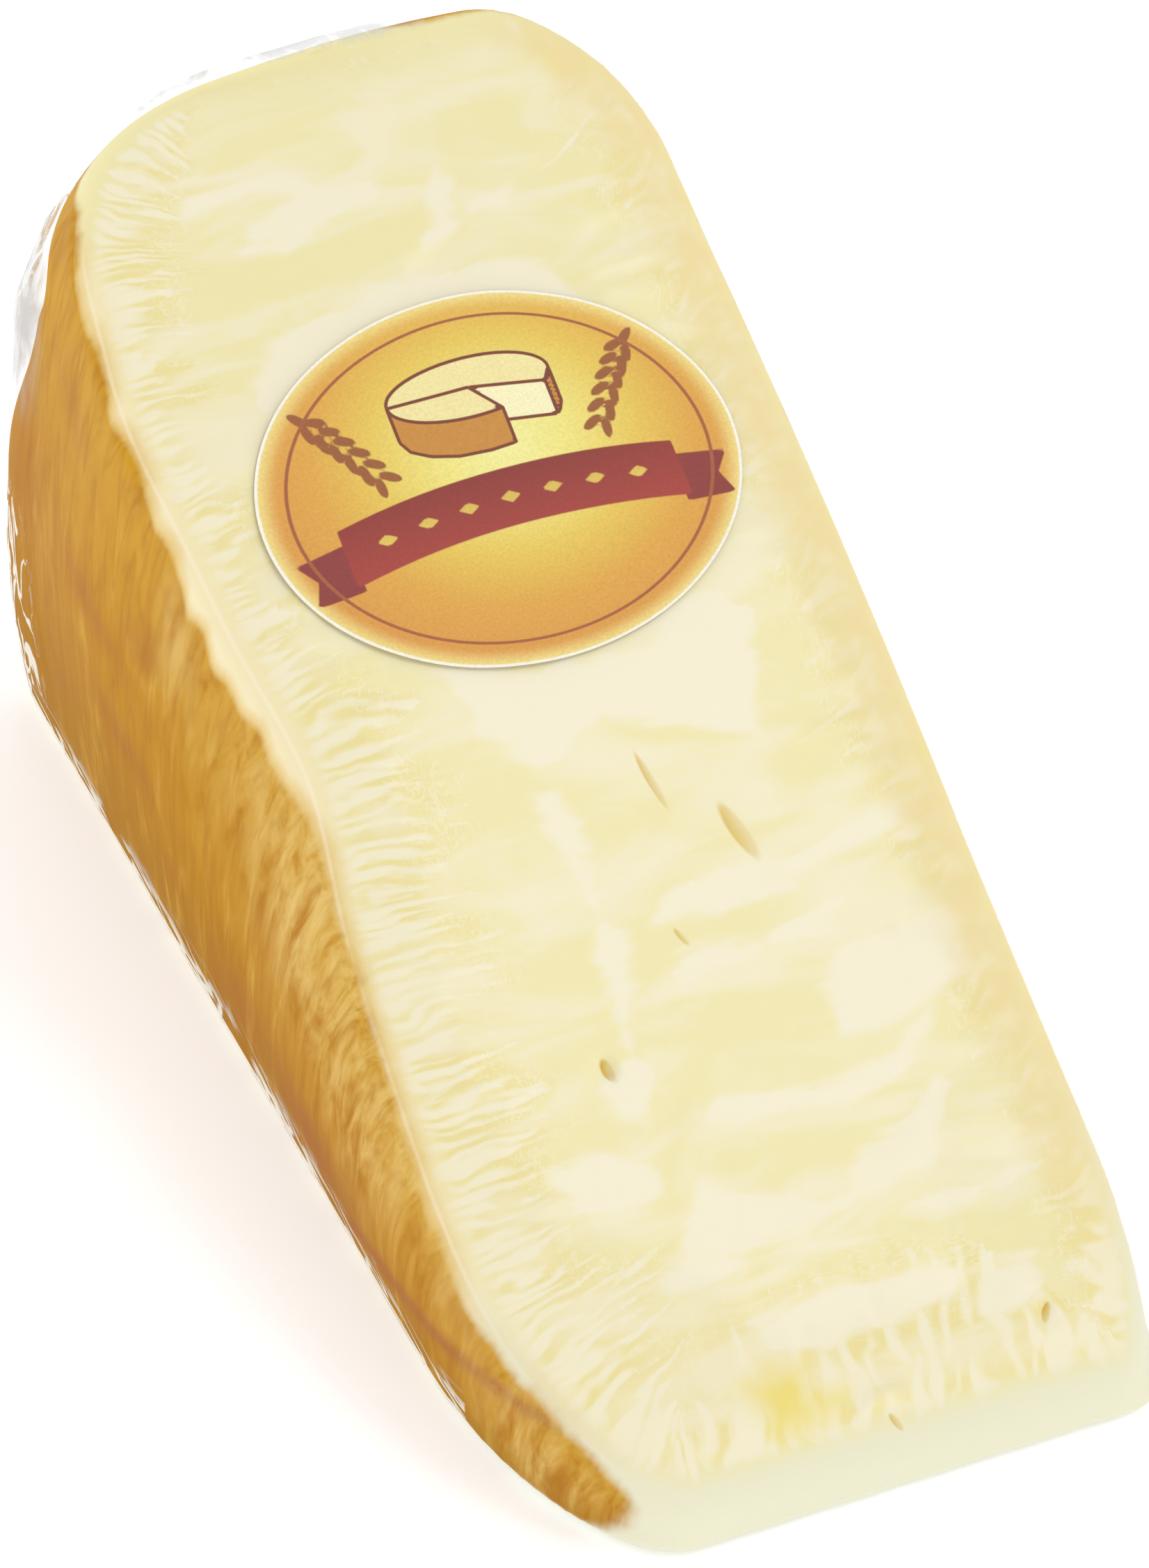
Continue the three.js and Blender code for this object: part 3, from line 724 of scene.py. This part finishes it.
def paste_colour(tree, border, notches):
    """Cream paste: pale with painted reflection where the film is lifted, peach below the left edge with a thin
    painted highlight line along it, cooler on the blunt tip, with yellow stains.
    """
    pale, furrows, inset = pale_reflections(tree)
    wet = add(tree, "Mix", {0: furrows, 6: linear("#E4DBAA"), 7: linear("#E2D599")}, **COLOUR)
    # Painted reflection pales the wet paste on the fold ridges and where the film is lifted.
    reflected_paste = add(tree, "Mix", {0: pale, 6: wet, 7: linear("#E8E1C8")}, **COLOUR)
    # Below the face's left edge the paste is peach, and along the edge a thin painted highlight line pales it.
    left_edge = add(tree, "Attribute", attribute_name="left_edge").outputs["Fac"]
    over = add(tree, "MapRange", {0: inset, 1: 2.6, 2: -0.4}, **SOFT)
    over_edge = add(tree, "Math", {0: over, 1: left_edge}, **TIMES)
    near_rind = add(tree, "MapRange", {0: border, 1: -2.6, 2: -0.4}, **SOFT)
    peachy = add(tree, "Mix", {0: near_rind, 6: linear("#E8DBB4"), 7: linear("#DCC182")}, **COLOUR)
    crept = add(tree, "Mix", {0: over_edge, 6: reflected_paste, 7: peachy}, **COLOUR)
    edge_gap = away_from(tree, inset, -0.1)
    thin = add(tree, "MapRange", {0: edge_gap, 1: 0.35, 2: 0.05}, **SOFT)
    edge_highlight_mask = add(tree, "Math", {0: thin, 1: left_edge}, **TIMES)
    edge_highlight = add(tree, "Math", {0: edge_highlight_mask, 1: 0.35}, **TIMES)
    paste = add(tree, "Mix", {0: edge_highlight, 6: crept, 7: linear("#F0E8D4")}, **COLOUR)
    nose = add(tree, "Attribute", attribute_name="nose").outputs["Fac"]
    nosed = add(tree, "Mix", {0: nose, 6: paste, 7: linear("#DEDBC1")}, **COLOUR)
    drawn = add(tree, "Attribute", attribute_name="stain").outputs["Fac"]
    wander = add(tree, "Math", {0: notches, 1: 3.0, 2: -1.5}, operation="MULTIPLY_ADD")
    stain = add(tree, "Math", {0: drawn, 1: wander}, operation="ADD")
    stain_share = add(tree, "MapRange", {0: stain, 1: -1.5, 2: 1.8}, **SOFT)
    return add(tree, "Mix", {0: stain_share, 6: nosed, 7: linear("#E4D47E")}, **COLOUR)


def rind_colour(tree, wheel):
    """Ochre rind, smeared round the wheel by a washing cloth in streaks 2 mm wide and 10 mm long, with ripples."""
    streaks_at = add(tree, "Mapping", {0: wheel, 3: (0.45, 0.45, 0.1)})
    smear = add(tree, "TexNoise", {
        "Vector": streaks_at, "Scale": 1.0, "Detail": 5.0, "Roughness": 0.65, "Distortion": 0.5,
    })
    broad_at = add(tree, "Mapping", {0: wheel, 3: (0.09, 0.09, 0.06)})
    cloud = add(tree, "TexNoise", {"Vector": broad_at, "Scale": 1.0, "Detail": 3.0})
    # Painted shade darkens it low down, towards the floor, and it is golden towards the upper face.
    spun = add(tree, "SeparateXYZ", {0: wheel})
    tilt = add(tree, "Math", {0: spun.outputs[2], 1: spun.outputs[1]}, operation="DIVIDE")
    lower = add(tree, "MapRange", {0: tilt, 1: radians(3), 2: radians(17)}, **SOFT)
    low = add(tree, "Mix", {0: lower, 6: linear("#AA7717"), 7: linear("#B98319")}, **COLOUR)
    upper = add(tree, "MapRange", {0: tilt, 1: radians(17), 2: radians(31)}, **SOFT)
    golden = add(tree, "Mix", {0: upper, 6: low, 7: linear("#C49228")}, **COLOUR)
    dark_share = add(tree, "MapRange", {0: smear, 1: 0.48, 2: 0.85}, **SOFT)
    mottled = add(tree, "Mix", {0: dark_share, 6: golden, 7: linear("#A66A1A")}, **COLOUR)
    bright_share = add(tree, "MapRange", {0: smear, 1: 0.5, 2: 0.2}, **SOFT)
    bright = add(tree, "Mix", {0: bright_share, 6: mottled, 7: linear("#CD9E3C")}, **COLOUR)
    ripple_at = add(tree, "Mapping", {0: wheel, 3: (0.55, 0.55, 0.05)})
    ripple = add(tree, "TexNoise", {"Vector": ripple_at, "Scale": 1.0, "Detail": 1.0, "Distortion": 0.3})
    ripple_gap = away_from(tree, ripple, 0.5)
    ripple_line = add(tree, "MapRange", {0: ripple_gap, 1: 0.06, 2: 0.0}, **SOFT)
    rippled = add(tree, "Math", {0: ripple_line, 1: 0.35}, **TIMES)
    lined = add(tree, "Mix", {0: rippled, 6: bright, 7: linear("#A56A14")}, **COLOUR)
    cloud_share = add(tree, "MapRange", {0: cloud, 1: 0.5, 2: 0.75}, **SOFT)
    cloudy = add(tree, "Math", {0: cloud_share, 1: 0.45}, **TIMES)
    # Broad clouding, with the painted dark reflections and the fold's painted shade.
    painted_darks = add(tree, "Attribute", attribute_name="dusky").outputs["Fac"]
    dusky_share = add(tree, "Math", {0: cloudy, 1: painted_darks}, operation="MAXIMUM")
    dusky = add(tree, "Mix", {0: dusky_share, 6: lined, 7: linear("#A4662C")}, **COLOUR)
    sunny_spots = add(tree, "Attribute", attribute_name="sunny").outputs["Fac"]
    thinly = add(tree, "MapRange", {0: smear, 1: 0.7, 2: 0.3}, **SOFT)
    mottle = add(tree, "Math", {0: sunny_spots, 1: thinly}, **TIMES)
    return add(tree, "Mix", {0: mottle, 6: dusky, 7: linear("#DCBC70")}, **COLOUR)


def cheese_material():
    """Semi-soft paste cut with a wire, and a thin rind washed in brine: smooth moist cream, and tacky ochre."""
    material, tree = new_material("semi_soft_cheese_with_washed_rind")
    place = add(tree, "TexCoord").outputs["Object"]
    wheel = add(tree, "Attribute", attribute_name="round_wheel").outputs["Vector"]
    # The border between paste and rind is ragged by a millimetre, in notches some 3 mm across.
    notches_at = add(tree, "Mapping", {0: wheel, 3: (0.3, 0.3, 0.09)})
    notches = add(tree, "TexNoise", {"Vector": notches_at, "Scale": 1.0, "Detail": 4.0, "Roughness": 0.6})
    ragged = add(tree, "Math", {0: notches, 1: 2.4, 2: -1.2}, operation="MULTIPLY_ADD")
    rind_deep = add(tree, "Attribute", attribute_name="rind").outputs["Fac"]
    border = add(tree, "Math", {0: rind_deep, 1: ragged}, operation="ADD")
    crust = add(tree, "MapRange", {0: border, 1: -0.9, 2: 0.8}, **SOFT)
    paste, rind = paste_colour(tree, border, notches), rind_colour(tree, wheel)
    colour = add(tree, "Mix", {0: crust, 6: paste, 7: rind}, **COLOUR)
    # Along the right edge the rind shows faintly through the paste, as a warm band in flecks of 2 mm.
    flecks = add(tree, "TexNoise", {"Vector": place, "Scale": 1 / (2 * MM), "Detail": 1.0})
    fleck_share = add(tree, "MapRange", {0: flecks, 1: 0.35, 2: 0.65, 3: 0.6, 4: 1.0})
    strip = add(tree, "Attribute", attribute_name="strip").outputs["Fac"]
    warm = add(tree, "Math", {0: strip, 1: fleck_share}, **TIMES)
    lit = add(tree, "Mix", {0: warm, 6: colour, 7: linear("#E3D29D")}, **COLOUR)
    flake = add(tree, "Attribute", attribute_name="flake").outputs["Fac"]
    flake_share = add(tree, "MapRange", {0: flake, 1: -0.2, 2: 0.5}, **SOFT)
    flaked = add(tree, "Mix", {0: flake_share, 6: lit, 7: linear("#E5DBAC")}, **COLOUR)
    # Painted shade in the openings, in ochre.
    opening = openings(tree, on_cut_face(tree))
    with_opening_shade = add(tree, "Mix", {0: opening, 6: flaked, 7: linear("#CDA51C")}, **COLOUR)
    # The rind has a grain 1 mm across, and the paste is smooth and lets light in a millimetre deep.
    grain = add(tree, "TexNoise", {"Vector": place, "Scale": 900.0, "Detail": 1.0})
    grained = add(tree, "Math", {0: crust, 1: 0.4}, **TIMES)
    relief = add(tree, "Bump", {"Height": grain, "Strength": grained, "Distance": 0.15 * MM})
    rough = add(tree, "MapRange", {0: crust, 3: 0.35, 4: 0.5})
    soft = add(tree, "MapRange", {0: crust, 3: 0.35, 4: 0.05})
    # The film over it carries the gloss, so the cheese has none of its own.
    shader = add(tree, "BsdfPrincipled", {
        "Base Color": with_opening_shade, "Roughness": rough, "Normal": relief, "IOR": 1.4, "Specular IOR Level": 0.0,
        "Subsurface Weight": soft, "Subsurface Radius": (1.0, 0.8, 0.45), "Subsurface Scale": 1.3 * MM,
    })
    add(tree, "OutputMaterial", {0: shader})
    return material


def long_crease_glints(tree):
    """Painted glints on creases low on the sides, as lines 0.3 mm wide, 8 mm long and 1 mm apart that rise towards
    the rim.
    """
    place = add(tree, "TexCoord").outputs["Object"]
    edge = add(tree, "SeparateXYZ", {0: add(tree, "Attribute", attribute_name="edge").outputs["Vector"]})
    above = add(tree, "Attribute", attribute_name="above").outputs["Fac"]
    lean = add(tree, "Math", {0: edge.outputs[0], 1: -0.2, 2: above}, operation="MULTIPLY_ADD")
    spot = add(tree, "CombineXYZ", {0: edge.outputs[0], 1: lean, 2: 0.0})
    laid = add(tree, "Mapping", {0: spot, 3: (1 / 6.0, 1 / 1.5, 1)})
    noise = add(tree, "TexNoise", {
        "Vector": laid, "Scale": 1.0, "Detail": 1.0, "Roughness": 0.5, "Distortion": 0.2,
    })
    gap = away_from(tree, noise, 0.5)
    line = add(tree, "MapRange", {0: gap, 1: 0.075, 2: 0.03}, **SOFT)
    # They keep to the lowest 5 mm, in stretches of 15 mm with bare film between.
    risen = add(tree, "MapRange", {0: above, 1: 0.0, 2: 0.6}, **SOFT)
    under = add(tree, "MapRange", {0: above, 1: 5.5, 2: 2.0}, **SOFT)
    band = add(tree, "Math", {0: risen, 1: under}, **TIMES)
    stretch_at = add(tree, "Mapping", {0: place, 3: (0, 70, 70)})
    stretch = add(tree, "TexNoise", {"Vector": stretch_at, "Scale": 1.0, "Detail": 1.0})
    some = add(tree, "MapRange", {0: stretch, 1: 0.38, 2: 0.46}, **SOFT)
    here = add(tree, "Math", {0: some, 1: band}, **TIMES)
    return add(tree, "Math", {0: line, 1: here}, **TIMES)


def crumples(tree):
    """Painted glints on the crumpled creases at the rim's left corner, and the soft streaks of the same crumpling.
    """
    corner = add(tree, "Attribute", attribute_name="corner").outputs["Fac"]
    wheel = add(tree, "Attribute", attribute_name="round_wheel").outputs["Vector"]
    laid = add(tree, "Mapping", {0: wheel, 3: (0.45, 0.45, 0.14)})
    noise = add(tree, "TexNoise", {"Vector": laid, "Scale": 1.0, "Detail": 2.0, "Distortion": 0.8})
    gap = away_from(tree, noise, 0.5)
    wide = add(tree, "Math", {0: corner, 1: 0.065}, **TIMES)
    fine = add(tree, "Math", {0: gap, 1: wide}, operation="SUBTRACT")
    line = add(tree, "MapRange", {0: fine, 1: 0.0, 2: -0.02}, **SOFT)
    here = add(tree, "MapRange", {0: corner, 1: 0.1, 2: 0.5}, **SOFT)
    streaks = add(tree, "MapRange", {0: noise, 1: 0.62, 2: 0.42}, **SOFT)
    return add(tree, "Math", {0: line, 1: here}, **TIMES), streaks


def film_material():
    """Cling film, blown thin and drawn tight: clear and glossy, whitish where it stands off, and its creases
    near-white, partly the haze of creased film and partly painted glints.
    """
    material, tree = new_material("stretched_cling_film")
    place = add(tree, "TexCoord").outputs["Object"]
    long_glints = long_crease_glints(tree)
    crumple_glints, streaks = crumples(tree)
    lines = add(tree, "Math", {0: long_glints, 1: crumple_glints}, operation="MAXIMUM")
    # Soft waves 4 mm across in the drawn film, which break up its gloss.
    soft_waves = add(tree, "TexNoise", {"Vector": place, "Scale": 260.0, "Detail": 1.0})
    relief = add(tree, "Bump", {"Height": soft_waves, "Strength": 0.7, "Distance": 0.1 * MM})
    # Where it stands off the cheese it is grey and streaky, and its creases are painted nearly white: partly the
    # haze of creased film, partly painted glints.
    haze = add(tree, "Attribute", attribute_name="haze").outputs["Fac"]
    uneven = add(tree, "MapRange", {0: streaks, 3: 0.14, 4: 0.46})
    stand_share = add(tree, "Math", {0: haze, 1: uneven}, **TIMES)
    glint_share = add(tree, "Math", {0: lines, 1: 0.85}, **TIMES)
    share = add(tree, "Math", {0: stand_share, 1: glint_share}, operation="MAXIMUM")
    clear = add(tree, "BsdfTransparent", {0: (1, 1, 1, 1)})
    # Grey where it stands off, near-white painted glints on the creases.
    haze_and_glint = add(tree, "Mix", {0: lines, 6: linear("#B9BBBC"), 7: linear("#EEEDE2")}, **COLOUR)
    white = add(tree, "BsdfDiffuse", {0: haze_and_glint})
    body = add(tree, "MixShader", {0: share, 1: clear, 2: white})
    gloss = add(tree, "BsdfGlossy", {0: linear("#FFFFFF"), "Roughness": 0.09, "Normal": relief})
    fresnel = add(tree, "Fresnel", {"IOR": 1.42, "Normal": relief})
    shine = add(tree, "Math", {0: fresnel, 1: 0.12}, **TIMES)
    whole = add(tree, "MixShader", {0: shine, 1: body, 2: gloss})
    add(tree, "OutputMaterial", {0: whole})
    return material


def gold_ground(tree, flat, away):
    """The label's gold ground: a glow above the middle that deepens to orange at the sides, with a faded rim."""
    glow_spot = add(tree, "Mapping", {0: flat, 1: (-0.05, -0.14, 0), 3: (1 / 19.5, 1 / 16.5, 0)})
    from_glow = add(tree, "VectorMath", {0: glow_spot}, operation="LENGTH").outputs["Value"]
    glow = add(tree, "ValToRGB", {0: from_glow})
    ramp = glow.color_ramp
    ramp.elements[0].color = linear("#F3EE9C")
    ramp.elements[1].color = linear("#DA9440")
    for spot, code in ((0.25, "#EFE27E"), (0.5, "#E6C554"), (0.72, "#DFA643")):
        ramp.elements.new(spot).color = linear(code)
    rim = add(tree, "MapRange", {0: away, 1: 0.9, 2: 1.0}, **SOFT)
    return add(tree, "Mix", {0: rim, 6: glow, 7: linear("#F0DA84")}, **COLOUR)


def label_material():
    """Uncoated label paper printed in gold and dark red: matt, with a fine print grain and a bare white rim."""
    material, tree = new_material("printed_label_paper")
    place = add(tree, "TexCoord").outputs["Object"]
    # Label coordinates in millimetres: the sheet's middle at 0, its long way along x.
    middle = WHEEL_IN_ROW + Vector((LABEL_AT[0], LABEL_AT[1] * cos(CUT), LABEL_AT[1] * sin(CUT)))
    settings = {0: place, 1: middle * MM, 2: (CUT, 0, 0), 3: (MM, MM, MM)}
    flat = add(tree, "Mapping", settings, vector_type="TEXTURE")
    up = add(tree, "SeparateXYZ", {0: flat}).outputs[1]
    ring = add(tree, "Mapping", {0: flat, 3: (1 / LABEL_HALF[0], 1 / LABEL_HALF[1], 0)})
    away = add(tree, "VectorMath", {0: ring}, operation="LENGTH").outputs["Value"]
    colour = gold_ground(tree, flat, away)
    drawn = {ink: add(tree, "Attribute", attribute_name=ink).outputs["Fac"] for ink in INK_COLOURS}
    for ink, code in INK_COLOURS.items():
        inked = add(tree, "MapRange", {0: drawn[ink], 1: -0.07, 2: 0.07}, **SOFT)
        colour = add(tree, "Mix", {0: inked, 6: colour, 7: linear(code)}, **COLOUR)
    # Brown line work round the drawn shapes, 0.25 mm wide, and a thin dark oval inside the rim.
    lines = None
    for ink in ("wheel_side", "cut_face", "wheel_top"):
        near = add(tree, "Math", {0: drawn[ink]}, operation="ABSOLUTE")
        line = add(tree, "MapRange", {0: near, 1: 0.17, 2: 0.08}, **SOFT)
        lines = line if lines is None else add(tree, "Math", {0: lines, 1: line}, operation="MAXIMUM")
    outlined = add(tree, "Mix", {0: lines, 6: colour, 7: linear("#7C3A22")}, **COLOUR)
    oval_gap = away_from(tree, away, 0.875)
    oval_line = add(tree, "MapRange", {0: oval_gap, 1: 0.011, 2: 0.004}, **SOFT)
    ringed = add(tree, "Mix", {0: oval_line, 6: outlined, 7: linear("#A65C34")}, **COLOUR)
    # The ribbon's red is darker at its top than at its foot.
    darker = add(tree, "MapRange", {0: up, 1: -5.0, 2: 0.5, 3: 1.12, 4: 0.72})
    red = add(tree, "MapRange", {0: drawn["ribbon"], 1: -0.05, 2: 0.05}, **SOFT)
    shade = add(tree, "Mix", {0: red, 2: 1.0, 3: darker}, data_type="FLOAT")
    shaded = add(tree, "VectorMath", {0: ringed, 1: shade}, **TIMES)
    bare = add(tree, "MapRange", {0: away, 1: 0.984, 2: 0.992}, **SOFT)
    edged = add(tree, "Mix", {0: bare, 6: shaded, 7: linear("#F8F4E6")}, **COLOUR)
    # Print grain 0.2 mm across.
    grain = add(tree, "TexNoise", {"Vector": flat, "Scale": 5.0, "Detail": 2.0})
    tint = add(tree, "MapRange", {0: grain, 1: 0.3, 2: 0.7, 3: 0.83, 4: 0.95})
    printed = add(tree, "VectorMath", {0: edged, 1: tint}, **TIMES)
    relief = add(tree, "Bump", {"Height": grain, "Strength": 0.2, "Distance": 0.03 * MM})
    shader = add(tree, "BsdfPrincipled", {"Base Color": printed, "Roughness": 0.6, "Normal": relief})
    add(tree, "OutputMaterial", {0: shader})
    return material


def floor_material():
    """A matt board of white acrylic, faintly lit from below, so shadows on it stay pale, with 17 mm clouding."""
    material, tree = new_material("lit_white_acrylic")
    place = add(tree, "TexCoord").outputs["Object"]
    fleck = add(tree, "TexNoise", {"Vector": place, "Scale": 60.0, "Detail": 3.0})
    colour = add(tree, "Mix", {0: fleck, 6: linear("#F6F9FC"), 7: linear("#FAFCFE")}, **COLOUR)
    shader = add(tree, "BsdfPrincipled", {
        "Base Color": colour, "Roughness": 0.85, "Emission Color": linear("#FFFFFF"), "Emission Strength": 0.22,
    })
    add(tree, "OutputMaterial", {0: shader})
    return material


# ---- The studio ----

def make_floor():
    """A wide pale board under the wedge."""
    bpy.ops.object.select_all(action="DESELECT")
    bpy.ops.mesh.primitive_plane_add(size=6, location=(0, 0, -0.2 * MM))
    board = bpy.context.active_object
    board.name = "studio_floor"
    board.data.materials.append(floor_material())


def area_light(name, place, size, watts):
    """A soft rectangular lamp at a place, turned to the wedge."""
    lamp = bpy.data.lights.new(name, "AREA")
    lamp.shape = "RECTANGLE"
    lamp.size, lamp.size_y = size
    lamp.energy = watts
    holder = bpy.data.objects.new(name, lamp)
    bpy.context.scene.collection.objects.link(holder)
    holder.location = place
    holder.rotation_mode = "QUATERNION"
    holder.rotation_quaternion = (Vector(LAMP_AIM) - Vector(place)).to_track_quat("-Z", "Y")


def light_studio():
    """Even daylight all round, a large overhead softbox, a strip low on the left and a softbox far in front."""
    world = bpy.data.worlds.new("soft_daylight")
    world.use_nodes = True
    world.node_tree.nodes["Background"].inputs[0].default_value = (1, 1, 1, 1)
    world.node_tree.nodes["Background"].inputs[1].default_value = DAYLIGHT
    bpy.context.scene.world = world
    for name, (place, size, watts) in LAMPS.items():
        area_light(name, place, size, watts)


def place_camera():
    """The photograph's view: to the left of the wedge's length and above it."""
    back = Vector((
        sin(CAMERA_TURN) * cos(CAMERA_RISE), -cos(CAMERA_TURN) * cos(CAMERA_RISE), sin(CAMERA_RISE),
    ))
    lens = bpy.data.cameras.new("camera")
    lens.sensor_width = CAMERA_SENSOR
    lens.lens = CAMERA_LENS
    lens.clip_start = 0.01
    camera = bpy.data.objects.new("camera", lens)
    bpy.context.scene.collection.objects.link(camera)
    camera.location = Vector(CAMERA_AIM) * MM + back * CAMERA_AWAY
    camera.rotation_mode = "QUATERNION"
    camera.rotation_quaternion = back.to_track_quat("Z", "Y")
    bpy.context.scene.camera = camera


def build_scene():
    """Makes the pieces, ties each to its node, and lights them."""
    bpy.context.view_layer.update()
    place_camera()
    make_floor()
    light_studio()
    bpy.context.scene.view_settings.view_transform = "Standard"
    film, at = make_film()
    cheese = make_cheese(film, at)
    cheese.data.materials.append(cheese_material())
    film.data.materials.append(film_material())
    # The clear film dims nothing behind it.
    film.visible_shadow = False
    film.visible_diffuse = False
    for piece, node in ((cheese, "cheese_in_film"), (film, "cheese_in_film"), (make_label(), "oval_label")):
        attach(piece, "root")
        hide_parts(node)


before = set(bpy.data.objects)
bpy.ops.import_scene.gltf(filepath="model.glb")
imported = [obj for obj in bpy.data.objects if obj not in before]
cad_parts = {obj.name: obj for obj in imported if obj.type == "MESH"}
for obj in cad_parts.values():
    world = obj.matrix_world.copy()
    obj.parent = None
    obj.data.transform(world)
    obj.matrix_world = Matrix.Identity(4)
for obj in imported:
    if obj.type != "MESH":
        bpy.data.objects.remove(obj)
build_scene()
